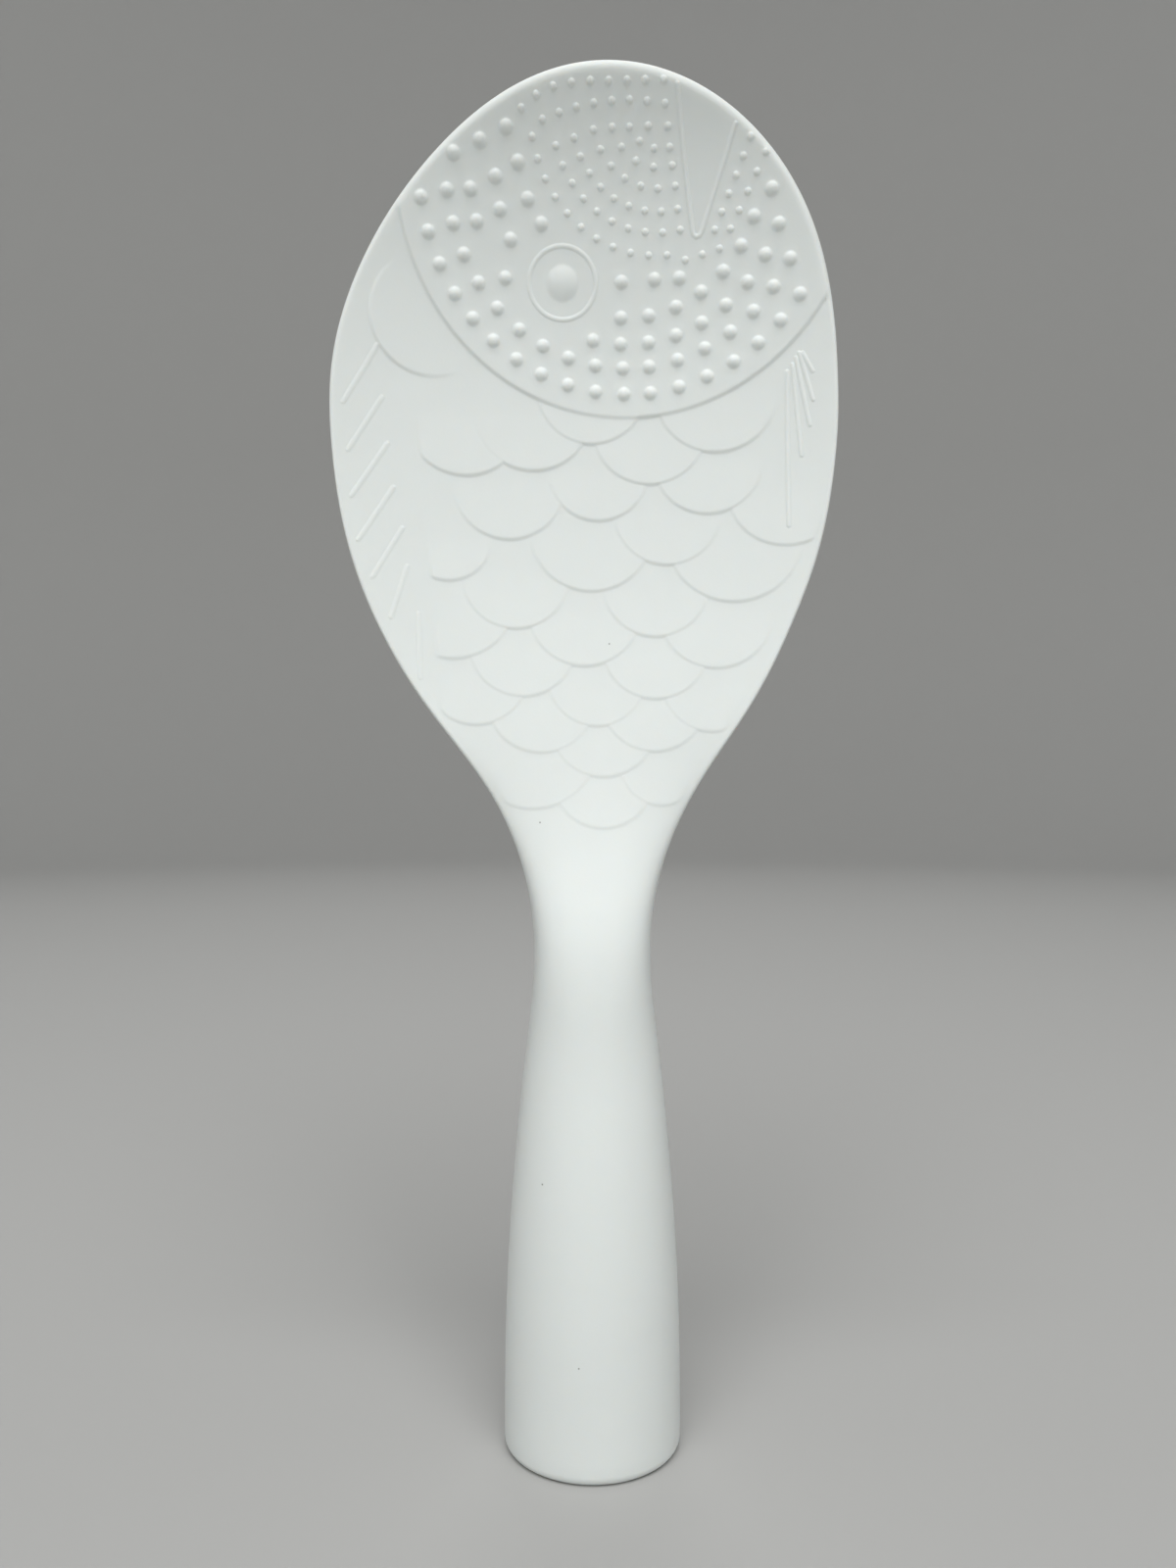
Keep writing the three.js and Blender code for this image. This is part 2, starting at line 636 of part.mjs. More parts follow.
const WHITE_MOULDING = new THREE.MeshStandardMaterial({ color: 0xe1e5e2, roughness: 0.42, metalness: 0 });
const WHITE_PLUG = new THREE.MeshStandardMaterial({ color: 0xd6d9d5, roughness: 0.5, metalness: 0 });
const STEEL = new THREE.MeshStandardMaterial({ color: 0x8d9296, roughness: 0.45, metalness: 1 });

function named(name, geometry, material) {
  const mesh = new THREE.Mesh(geometry, material);
  mesh.name = name;
  return mesh;
}

const paddle = new THREE.Group();
paddle.add(named('paddle_body', geometryOf(paddleBody), WHITE_MOULDING));
const weight = named('ballast_weight', steelWeight(), STEEL);
weight.position.z = weightBottom;
paddle.add(weight);
paddle.add(named('base_plug', basePlug(), WHITE_PLUG));

export default paddle;
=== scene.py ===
import math

import bmesh
import bpy
import numpy as np
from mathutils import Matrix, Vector
from mathutils.geometry import delaunay_2d_cdt
from mathutils.kdtree import KDTree


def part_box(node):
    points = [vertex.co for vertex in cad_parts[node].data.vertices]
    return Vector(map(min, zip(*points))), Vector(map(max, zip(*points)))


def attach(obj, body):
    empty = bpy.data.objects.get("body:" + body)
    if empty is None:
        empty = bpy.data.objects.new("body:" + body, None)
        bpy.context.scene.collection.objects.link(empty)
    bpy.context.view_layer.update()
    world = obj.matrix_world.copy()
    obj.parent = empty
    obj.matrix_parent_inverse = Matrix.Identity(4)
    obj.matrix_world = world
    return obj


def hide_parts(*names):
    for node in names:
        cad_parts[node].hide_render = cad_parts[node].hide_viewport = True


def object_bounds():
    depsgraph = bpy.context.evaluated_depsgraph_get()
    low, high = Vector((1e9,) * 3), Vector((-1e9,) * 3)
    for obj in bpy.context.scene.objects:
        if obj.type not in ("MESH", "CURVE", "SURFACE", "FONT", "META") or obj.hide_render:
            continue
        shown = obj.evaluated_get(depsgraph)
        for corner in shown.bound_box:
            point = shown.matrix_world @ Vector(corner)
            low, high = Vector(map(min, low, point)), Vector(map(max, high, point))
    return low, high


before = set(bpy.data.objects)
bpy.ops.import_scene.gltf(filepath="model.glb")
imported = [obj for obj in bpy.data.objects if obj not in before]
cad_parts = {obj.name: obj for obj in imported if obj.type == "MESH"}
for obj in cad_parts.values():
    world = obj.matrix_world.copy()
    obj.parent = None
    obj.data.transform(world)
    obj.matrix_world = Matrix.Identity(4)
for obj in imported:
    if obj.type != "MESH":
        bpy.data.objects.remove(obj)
cad_low, cad_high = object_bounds()

# Paddle moulding, its form: handle, neck and scooped blade are one seamless shot of white polypropylene.
# The blade is thin with a rounded rim, leans back from the neck and curls forward again at its tip.
# Sizes are in millimetres from the middle of the base, and the finished mesh is scaled to metres.
MM = 0.001
body_low, body_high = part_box("paddle_body")
BLADE_WIDTH = (body_high.x - body_low.x) / MM
TIP_HEIGHT = body_high.z / MM
TIP_RISE = 49.5  # widest row to the tip
WIDEST_HEIGHT = TIP_HEIGHT - TIP_RISE
NECK_HEIGHT = 77
SHOULDER_RISE = WIDEST_HEIGHT - NECK_HEIGHT
BASE_RADIUS = 13.5
BASE_FILLET = 1.5
NECK_WIDTH = 18
NECK_THICKNESS = 15.2
BLADE_THICKNESS = 3
TIP_THICKNESS = 2.4
RIM_THICKNESS = 1.8
RIM_NOSE = [(150, 0.4), (195, 1.0), (209, 2.0)]  # heights, with the width of the rim's rounding there
RIM_TAPER = 14  # width over which the rim grows to the full thickness
BACK_TAPER = 0.8  # share of the front's taper that the back takes over, so the front stays flatter
SCOOP_DEPTH = 8.7  # middle of the blade, behind the axis of the handle
TIP_REACH = 5  # tip of the blade, in front of that axis
DISH_RADIUS = 160
BELLY_SWAY = 1.25  # lean of the outline to the left at its widest
TIP_SWAY = 2.1  # and to the right at its tip
TIP_FULLNESS = 2.08  # 2 is an ellipse, more is squarer
NECK_FLATNESS = 2.9  # front of the neck: 2 is round, more is flatter with rounded corners
NECK_FLAT_HEIGHTS = (60, 86)  # heights over which the front of the handle flattens
FRONT_FLAT = (0, 0.15, 0.4, 0.65)  # half of what is off its front at the first heights of its shape

# Shares of the way up, with the share of the change in size reached there
HANDLE_SHAPE = [(0.3, 0.935), (0.45, 0.804), (0.61, 0.587), (0.77, 0.304), (0.88, 0.08), (1, 0)]
SHOULDER_SHAPE = [
    (0.144, 0.068), (0.291, 0.253), (0.438, 0.533), (0.587, 0.757), (0.73, 0.902), (0.886, 0.981), (1, 1),
]
THINNING_SHAPE = [(0, 1), (0.12, 0.656), (0.24, 0.369), (0.395, 0.172), (0.6, 0.041), (0.875, 0)]
LEAN_SHAPE = [(0, 0.126), (0.12, 0.287), (0.24, 0.454), (0.395, 0.644), (0.6, 0.868), (0.875, 1)]
CURL_SHAPE = [(0.212, 0.076), (0.596, 0.346), (0.8, 0.602), (1, 1), (1.08, 1.19)]  # on past the tip

# Where the blade changes its form, as shares of the way up the shoulder, or up the tip for the right sway
LEFT_SWAY_SPAN = (0.22, 0.66)
RIGHT_SWAY_SPAN = (0.04, 0.96)
DISH_SPAN = (0.1, 0.4)
FLATTEN_SPAN = (0.04, 0.42)

OUTLINE_STEPS = 400  # places worked out along each half of a side
LEAST_WIDTH = 0.0018  # shares of the width aren't taken of less than this


def ease(value, start, end):
    """Smooth step from 0 at start to 1 at end."""
    share = np.clip((value - start) / (end - start), 0, 1)
    return share * share * (3 - 2 * share)


def ease_over(z, foot, rise, span):
    """The same over a span of shares of the way up from a foot."""
    return ease(z, foot + span[0] * rise, foot + span[1] * rise)


def smooth_curve(knots, level_end):
    """Curve without kinks through (place, value) knots, level at the first and, if asked, at the last."""
    place, value = np.array(knots, float).T
    gap = np.diff(place)
    steepness = np.diff(value) / gap
    last = len(place) - 1
    matrix = np.eye(last + 1)
    pull = np.zeros(last + 1)
    for i in range(1, last):
        matrix[i, i - 1 : i + 2] = 1 / gap[i - 1], 2 / gap[i - 1] + 2 / gap[i], 1 / gap[i]
        pull[i] = 3 * (steepness[i - 1] / gap[i - 1] + steepness[i] / gap[i])
    if not level_end:
        matrix[last, last - 1 :] = 1, 2
        pull[last] = 3 * steepness[-1]
    slope = np.linalg.solve(matrix, pull)

    def curve(at):
        at = np.clip(at, place[0], place[last])
        i = np.clip(np.searchsorted(place, at) - 1, 0, last - 1)
        t = (at - place[i]) / gap[i]
        start = (1 + 2 * t) * (1 - t) ** 2 * value[i] + t * (1 - t) ** 2 * gap[i] * slope[i]
        end = t * t * (3 - 2 * t) * value[i + 1] + t * t * (t - 1) * gap[i] * slope[i + 1]
        return start + end

    return curve


def knots_of(shape, from_place, to_place, at_zero, at_one):
    """Knots of a shape list, spread from a first place and value to a last place and value."""
    return [
        (from_place + share * (to_place - from_place), at_zero + change * (at_one - at_zero))
        for share, change in shape
    ]


handle_knots = knots_of(HANDLE_SHAPE, 0, NECK_HEIGHT, NECK_WIDTH / 2, BASE_RADIUS)
round_knots = [(z, radius - flat) for (z, radius), flat in zip(handle_knots, FRONT_FLAT)]
flat_knots = [(z, flat) for (z, _), flat in zip(handle_knots, FRONT_FLAT)]
shoulder_knots = knots_of(SHOULDER_SHAPE, NECK_HEIGHT, WIDEST_HEIGHT, NECK_WIDTH / 2, BLADE_WIDTH / 2)
thinning_knots = knots_of(
    THINNING_SHAPE, NECK_HEIGHT, WIDEST_HEIGHT, BLADE_THICKNESS / 2, NECK_THICKNESS / 2
)
lean_knots = knots_of(LEAN_SHAPE, NECK_HEIGHT, WIDEST_HEIGHT, 0, SCOOP_DEPTH)
curl_knots = knots_of(CURL_SHAPE, WIDEST_HEIGHT, TIP_HEIGHT, SCOOP_DEPTH, -TIP_REACH)
lower_half_width = smooth_curve([(0, BASE_RADIUS), *handle_knots, *shoulder_knots], True)
half_depth = smooth_curve(
    [(0, BASE_RADIUS), *round_knots, *thinning_knots, (TIP_HEIGHT, TIP_THICKNESS / 2)], False
)
set_back = smooth_curve([(0, 0), *flat_knots, *lean_knots, *curl_knots], False)


def half_width(z):
    """Half the width at a height, up the handle, the shoulder and the round of the tip."""
    share = np.clip((z - WIDEST_HEIGHT) / TIP_RISE, 0, 1)
    upper = BLADE_WIDTH / 2 * np.sqrt(1 - share**TIP_FULLNESS)
    return np.where(z <= WIDEST_HEIGHT, lower_half_width(z), upper)


def sway(z):
    """How far the middle of the outline lies to the right at a height."""
    left = ease_over(z, NECK_HEIGHT, SHOULDER_RISE, LEFT_SWAY_SPAN)
    right = ease_over(z, WIDEST_HEIGHT, TIP_RISE, RIGHT_SWAY_SPAN)
    return right * (BELLY_SWAY + TIP_SWAY) - left * BELLY_SWAY


def middle(x, z):
    """Middle of the thickness: the blade leans back, curls forward and is dished from side to side."""
    dished = ease_over(z, NECK_HEIGHT, SHOULDER_RISE, DISH_SPAN)
    return set_back(z) - dished * x * x / (2 * DISH_RADIUS)


def even_path(points, spacing):
    """Points at even steps along a path."""
    run = np.concatenate([[0], np.cumsum(np.hypot(*np.diff(points, axis=0).T))])
    steps = np.linspace(0, run[-1], max(2, round(run[-1] / spacing) + 1))
    return np.stack([np.interp(steps, run, points[:, 0]), np.interp(steps, run, points[:, 1])], 1)


def blade_outline(spacing):
    """Outline of the blade seen from the front, up the left side from the neck and down the right."""
    shoulder = np.linspace(NECK_HEIGHT, WIDEST_HEIGHT, OUTLINE_STEPS)
    tip = WIDEST_HEIGHT + TIP_RISE * np.sin(np.linspace(0, math.pi / 2, OUTLINE_STEPS))
    z = np.concatenate([shoulder, tip[1:]])
    left = np.stack([sway(z) - half_width(z), z], 1)
    right = np.stack([sway(z) + half_width(z), z], 1)
    return even_path(np.concatenate([left, right[-2::-1]]), spacing)


def distance_to(path, x, z):
    """Distance from places (x, z) to the nearest point of a path."""
    least = np.full(np.shape(x), np.inf)
    for (ax, az), (bx, bz) in zip(path[:-1], path[1:]):
        run, rise = bx - ax, bz - az
        share = np.clip(((x - ax) * run + (z - az) * rise) / (run**2 + rise**2), 0, 1)
        least = np.minimum(least, np.hypot(x - ax - share * run, z - az - share * rise))
    return least


def round_section(across, z, front):
    """Share of the depth at a share of the half width: round, but flatter on the front of the neck."""
    flatness = 2 + (NECK_FLATNESS - 2) * ease(z, *NECK_FLAT_HEIGHTS) * front
    return np.maximum(0, 1 - np.abs(across) ** flatness) ** (1 / flatness)


def half_thickness(x, z, inset, front):
    """Round in the handle, a plate with a rounded rim in the blade. Inset is the distance to the rim."""
    rim = RIM_THICKNESS / 2
    width = np.maximum(half_width(z), inset)
    across = np.where(width > 0, (x - sway(z)) / np.maximum(width, LEAST_WIDTH), 1)
    round_part = half_depth(z) * round_section(across, z, front)
    nose_width = np.interp(z, *zip(*RIM_NOSE))
    nose = np.sqrt(1 - (1 - np.minimum(1, inset / nose_width)) ** 2)
    taper = (half_depth(z) - rim) * (1 - ease(inset, 0, RIM_TAPER))
    plate = half_depth(z) - rim * (1 - nose) - taper * (1 - BACK_TAPER if front else 1 + BACK_TAPER)
    flat = ease_over(z, NECK_HEIGHT, SHOULDER_RISE, FLATTEN_SPAN)
    return round_part + flat * (plate - round_part)


# Relief on the front of the blade, cut into the mould in its opening direction: a plain fish, head up.
# A raised head with a gill edge, arcs of round domes and rows of small dots, an eye ring with a domed
# pupil, a narrow mouth, overlapping scales and thin fin strokes. It keeps rice from sticking.
GILL_CENTRE = (5.6, 195.75)
GILL_RADIUS = 35.9
HEAD_RISE = 0.27
HEAD_FADE = 1.3  # the head runs out over this width along the rim
EDGE_HALF = 0.31  # half width of the step at a gill or scale edge

DOME_RADIUS = 1.07
DOME_RISE = 0.47
DOME_FOOT = (0.84, 1.24)  # where the fillet round a dome or dot starts and ends, in its radii
# Arcs of domes round the gill's centre: radius, first and last angle from straight down, number of domes
DOME_ARCS = [
    (32.3, -83, -57.5, 4), (32.2, -49.5, -1, 7), (32.3, 6.5, 56, 7),
    (28.2, -84.5, -47, 5), (28.2, -37.5, -1.5, 5), (28.2, 7, 63, 7),
    (24.6, -84.5, -74, 2), (24.5, -13, 28.5, 5), (24.5, 39, 71.5, 4),
    (20.6, -88.5, -63.5, 3), (20.5, -3, 71.5, 7),
]
CHEEK_ROW = ((-21.3, 198.0), (-13.2, 201.6), 3)  # first and last dome beside the top of the head, number
EYE_DOMES = [(-11.5, 197.2), (-10.1, 192.3), (-8.0, 188.9), (-13.7, 181.0)]
MOUTH_DOMES = [(4.6, 180.6), (9.8, 180.9), (13.7, 181.0), (27.6, 192.9)]

DOT_RADIUS = 0.58
DOT_RISE = 0.27
DOT_CENTRE = (10.5, 204.5)
# Arcs of dots round that centre: radius, first and last angle from straight down, number of dots
DOT_ARCS = [
    (5.6, -60, 14, 4), (8.0, -69.5, 13, 5), (10.8, -73.5, 12.5, 7),
    (13.95, -73, 11.5, 9), (16.9, -72.5, 11, 10), (20.15, -78.5, 3.5, 11),
]
# Bent rows of dots under the tip of the blade, as arcs: centre, radius, first and last angle, number
TIP_ARCS = [((-2.55, 194.4), 12.6, -139, -177, 4), ((4.9, 169.95), 35.0, -159, -190, 8)]
# Straight rows of dots beside the mouth, inside the smallest arc and at the tip: first and last dot, number
DOT_ROWS = [
    ((19.1, 187.7), (24.1, 199.9), 6), ((21.5, 187.7), (26.5, 197.8), 5),
    ((14.6, 183.6), (19.9, 185.0), 3), ((8.5, 201.8), (11.5, 201.7), 2),
    ((-0.35, 207.2), (10.7, 207.2), 5),
]

EYE_CENTRE = (-4.72, 180.45)
EYE_RADII = (5.26, 5.42)
EYE_RIDGE = (0.38, 0.125)  # half width and rise of a raised line
PUPIL_RADII = (2.5, 2.7)
PUPIL_RISE = 0.5
PUPIL_FOOT = (0.9, 1.14)  # its fillet, as for a dome
MOUTH_ENDS = ((12.8, 206.7), (21.7, 201.6))
MOUTH_CORNER = (16.1, 184.7)
MOUTH_ROUNDING = 0.65
ROUNDING_STEPS = 9
MOUTH_RIDGE = (0.4, 0.15)

SCALE_RISE = (0.13, 0.22)  # at the lowest and at the highest scales
SCALE_HEIGHTS = (95, 155)
SCALE_LIP = (0.9, 1.9)  # distance from the rim over which the scales run out
FIELD_LEFT = ((-24.4, 122), (-28.0, 165))  # left edge of the scales, low and high
FIELD_FADE = 0.45
# Scales: middle, height of the lowest point, radius
SCALES = [
    (-0.1, 155.7, 8.7), (19.8, 154.1, 9.7), (-9.5, 151.4, 9.5), (-20.3, 150.4, 9.4), (9.2, 149.2, 9.1),
    (1.0, 143.4, 7.9), (18.5, 144.3, 8.6), (-13.3, 140.3, 8.8), (30.8, 138.9, 9.3), (12.0, 136.2, 8.5),
    (-22.8, 133.5, 6.7), (-0.1, 132.0, 9.8), (22.6, 130.1, 10.7), (-12.2, 125.9, 8.4), (10.1, 124.6, 8.3),
    (-21.9, 121.0, 9.5), (-1.2, 119.9, 8.8), (19.6, 119.5, 8.9), (-11.0, 115.0, 8.4), (10.0, 114.6, 8.3),
    (-18.2, 110.5, 8.1), (0.7, 110.3, 7.6), (18.7, 109.4, 7.6), (-8.0, 106.1, 8.5), (9.7, 106.3, 8.3),
    (1.7, 102.3, 8.3), (-9.3, 97.4, 10.4), (10.7, 97.9, 6.3), (1.7, 94.4, 7.9),
]
LOBE = (-25.4, 175.2, 9.4)  # large scale beside the gill: middle, height, radius
LOBE_FACING = math.radians(-60)  # its raised side, from straight down

LEFT_FIN = [
    ((-33.7, 170.2), (-39.0, 161.1)), ((-33.1, 162.2), (-38.3, 153.7)), ((-32.3, 155.0), (-37.8, 146.5)),
    ((-31.4, 148.1), (-36.7, 139.6)), ((-30.0, 141.7), (-34.5, 133.8)), ((-29.2, 135.6), (-31.6, 127.5)),
    ((-27.4, 128.1), (-26.9, 117.9)),
]
LEFT_RIDGE = (0.42, 0.08)
RIGHT_FIN = [
    ((30.7, 166.3), (31.0, 142.0)), ((31.5, 167.3), (33.0, 153.1)), ((32.0, 168.3), (34.2, 157.8)),
    ((32.5, 169.0), (34.7, 161.7)), ((33.0, 169.0), (34.6, 166.1)),
]
RIGHT_RIDGE = (0.36, 0.13)

RIM_SPACING = 1.0  # between points of the outline
outline = blade_outline(RIM_SPACING)


def on_arc(centre, radius, turn):
    """Place on an arc, turned from straight down, minus to the left."""
    return centre[0] + radius * np.sin(turn), centre[1] - radius * np.cos(turn)


def along_arc(centre, radius, first, last, count):
    """Places at even steps along an arc, between two angles in degrees."""
    return [on_arc(centre, radius, turn) for turn in np.radians(np.linspace(first, last, count))]


def dome_places():
    """Middles of all the domes."""
    places = [*EYE_DOMES, *MOUTH_DOMES, *np.linspace(*CHEEK_ROW)]
    for arc in DOME_ARCS:
        places += along_arc(GILL_CENTRE, *arc)
    return places


def dot_places():
    """Middles of all the dots."""
    places = []
    for arc in [(DOT_CENTRE, *arc) for arc in DOT_ARCS] + TIP_ARCS:
        places += along_arc(*arc)
    for start, end, count in DOT_ROWS:
        places += list(np.linspace(start, end, count))
    return places


def rounded_corner(start, corner, end, radius):
    """Path from start to end by way of a corner with a round of that radius."""
    start, corner, end = (np.array(place, float) for place in (start, corner, end))
    arms = [(place - corner) / np.linalg.norm(place - corner) for place in (start, end)]
    half_angle = math.acos(arms[0] @ arms[1]) / 2
    bisector = (arms[0] + arms[1]) / np.linalg.norm(arms[0] + arms[1])
    centre = corner + bisector * radius / math.sin(half_angle)
    tangent = radius / math.tan(half_angle)
    first = corner + arms[0] * tangent - centre
    swing = math.pi - 2 * half_angle
    turn = swing * np.sign(arms[0][0] * arms[1][1] - arms[0][1] * arms[1][0])
    sideways = np.array([-first[1], first[0]])
    angles = np.linspace(0, -turn, ROUNDING_STEPS)
    round_part = [centre + (first * math.cos(a) + sideways * math.sin(a)) for a in angles]
    return np.array([start, *round_part, end])


domes = dome_places()
dots = dot_places()
mouth = rounded_corner(MOUTH_ENDS[0], MOUTH_CORNER, MOUTH_ENDS[1], MOUTH_ROUNDING)
ridges = [(np.array(stroke), *LEFT_RIDGE) for stroke in LEFT_FIN]
ridges += [(np.array(stroke), *RIGHT_RIDGE) for stroke in RIGHT_FIN]
ridges += [(mouth, *MOUTH_RIDGE)]


def cap(reach, rise, foot):
    """Height of a cap of a ball with a fillet round its foot, all given in radii."""
    start, end = foot
    ball = (1 + rise**2) / (2 * rise)
    start_height = math.sqrt(ball**2 - start**2)
    top = np.sqrt(ball**2 - np.minimum(reach, start) ** 2) - start_height
    slope = start / start_height
    return top + slope / (2 * (end - start)) * np.clip(end - reach, 0, end - start) ** 2


def scale_height(x, z, inset):
    """The scales, each rising to its lower edge over the next, inside the field between fin and rim."""
    height = np.zeros(np.shape(x))
    for across, lowest, radius in SCALES:
        centre = lowest + radius
        edge = 1 - ease(np.hypot(x - across, z - centre), radius - EDGE_HALF, radius + EDGE_HALF)
        height = np.maximum(height, np.maximum(0, centre - z) / radius * edge)
    (low_x, low_z), (high_x, high_z) = FIELD_LEFT
    left = low_x + (z - low_z) * (high_x - low_x) / (high_z - low_z)
    height = height * ease(x - left, -FIELD_FADE, FIELD_FADE) * ease(inset, *SCALE_LIP)
    across, up, radius = LOBE
    facing = (x - across) * math.sin(LOBE_FACING) - (z - up) * math.cos(LOBE_FACING)
    edge = 1 - ease(np.hypot(x - across, z - up), radius - EDGE_HALF, radius + EDGE_HALF)
    rise = np.interp(z, SCALE_HEIGHTS, SCALE_RISE)
    return rise * np.maximum(height, np.maximum(0, facing / radius) * edge)


def relief(x, z, inset):
    """Height of the relief above the plain front."""
    gill = np.hypot(x - GILL_CENTRE[0], z - GILL_CENTRE[1])
    head = 1 - ease(gill, GILL_RADIUS - EDGE_HALF, GILL_RADIUS + EDGE_HALF)
    rim_fade = ease(inset, 0, HEAD_FADE)
    height = head * HEAD_RISE * rim_fade + (1 - head) * scale_height(x, z, inset)
    for places, radius, rise in ((domes, DOME_RADIUS, DOME_RISE), (dots, DOT_RADIUS, DOT_RISE)):
        for across, up in places:
            reach = np.hypot(x - across, z - up) / radius
            height = height + radius * cap(reach, rise / radius, DOME_FOOT)
    eye_x, eye_z = x - EYE_CENTRE[0], z - EYE_CENTRE[1]
    pupil = np.hypot(eye_x / PUPIL_RADII[0], eye_z / PUPIL_RADII[1])
    height = height + PUPIL_RADII[0] * cap(pupil, PUPIL_RISE / PUPIL_RADII[0], PUPIL_FOOT)
    off_ring = np.abs(np.hypot(eye_x / EYE_RADII[0], eye_z / EYE_RADII[1]) - 1) * EYE_RADII[0]
    height = height + EYE_RIDGE[1] * np.maximum(0, 1 - (off_ring / EYE_RIDGE[0]) ** 2)
    for path, half, rise in ridges:
        height = height + rise * np.maximum(0, 1 - (distance_to(path, x, z) / half) ** 2)
    return height


# Paddle moulding, its mesh: a triangulated front that follows every edge of the relief, a plain back that
# shares its rim, and rings down the handle, round the foot and up the hollow that the core pin left.
SIDES = 64  # round the handle
HANDLE_STEP = 1.75  # between its rings
FILLET_STEPS = 7  # over the rounding of the foot
LINE_SPACING = 0.55  # between points of a line of the relief
RIM_LINES = 10  # along the rim, each from a point of the neck's ring
FRONT_GRID = 1.25  # fills the face between the lines
BACK_GRID = 2.0
LINE_LAND = 0.9  # lines of the relief stop at this distance from the rim
GRID_LAND = 0.5  # least distance from a grid point to a line, in steps of the grid
EDGE_LINES = (-1.7, -1, -0.35, 0.35, 1, 1.7)  # across a step, in half widths
RIDGE_LINES = (0.45, 0.8, 1, 1.35)  # across a raised line, in half widths
DOME_LINES = (0.3, 0.58, 0.74, 0.84, 0.96, 1.1, 1.24)  # round a dome, in radii
DOT_LINES = DOME_LINES[1:]
PUPIL_LINES = (0.2, 0.4, 0.6, 0.76, 0.9, 0.96, 1.02, 1.08, 1.14)
FIELD_LINES = (-1, -0.5, 0, 0.5, 1)  # along the left edge of the scales, in widths of its fade
DOME_SIDES = 16
DOT_SIDES = 10
PUPIL_SIDES = 32
EYE_SIDES = 60
END_STEPS = 7  # round the end of a raised line
SCALE_SWEEP = 1.3  # radians to each side that the lines of a scale's edge run
LOBE_SWEEP = 1.45
FOOT_RIM = 2.3  # wall of the moulding round the plug
CLEARANCE = 0.3  # gap at every seat
PLUG_THICKNESS = 2
PLUG_LEDGE = 0.9  # overlap of the plug and the step that stops it
WEIGHT_BOTTOM = 6.3
WEIGHT_TOP = 21.3
WEIGHT_SHOULDER = 3.6  # step above the weight
CORE_STOP = 15  # top of the hollow, below the neck
CORE_WALL = 4.6  # wall beside the top of the hollow
CORE_STEPS = 7  # round the end of the core
INSIDE = 1  # the triangulation keeps the triangles inside the lines
WELD = 1e-4  # and joins points nearer than this
MERGE = 0.012  # points of a finished mesh nearer than this become one
SLIVER = 0.0012  # and shorter edges go
SHARP = math.radians(75)  # edges sharper than this aren't shaded smooth

neck_half = NECK_WIDTH / 2
rim_turns = np.arange(RIM_LINES) * 2 * math.pi / SIDES
rim_insets = neck_half * (1 - np.cos(rim_turns))
plug_radius = BASE_RADIUS - FOOT_RIM - CLEARANCE
weight_radius = plug_radius - PLUG_LEDGE - CLEARANCE


def rim_line(inset):
    """The outline moved in from the rim, with its ends on the neck's row."""
    tangent = np.gradient(outline, axis=0)
    tangent /= np.linalg.norm(tangent, axis=1)[:, None]
    line = outline + inset * np.stack([tangent[:, 1], -tangent[:, 0]], 1)
    line[0] = inset - neck_half, NECK_HEIGHT
    line[-1] = neck_half - inset, NECK_HEIGHT
    return line


def ring_lines(centre, radii, shares, sides):
    """Closed lines round a place, as shares of two radii."""
    turn = np.arange(sides) * 2 * math.pi / sides
    ring = np.stack([radii[0] * np.sin(turn), -radii[1] * np.cos(turn)], 1)
    return [(np.array(centre) + share * ring, True) for share in shares]


def edge_lines(centre, radius, first, last):
    """Open lines along both sides of a stepped edge."""
    turns = np.linspace(first, last, round(radius * (last - first) / LINE_SPACING))
    return [
        (np.stack(on_arc(centre, radius + offset * EDGE_HALF, turns), 1), False) for offset in EDGE_LINES
    ]


def ridge_lines(path, half):
    """The middle of a raised line, and closed lines round it with round ends."""
    middle_line = even_path(path, LINE_SPACING)
    tangent = np.gradient(middle_line, axis=0)
    tangent /= np.linalg.norm(tangent, axis=1)[:, None]
    normal = np.stack([-tangent[:, 1], tangent[:, 0]], 1)
    swing = np.linspace(0, math.pi, END_STEPS)[1:-1, None]
    lines = [(middle_line, False)]
    for share in RIDGE_LINES:
        out = half * share
        far_end = middle_line[-1] + out * (np.cos(swing) * normal[-1] + np.sin(swing) * tangent[-1])
        near_end = middle_line[0] - out * (np.cos(swing) * normal[0] + np.sin(swing) * tangent[0])
        sides = middle_line + out * normal, (middle_line - out * normal)[::-1]
        lines.append((np.concatenate([sides[0], far_end, sides[1], near_end]), True))
    return lines


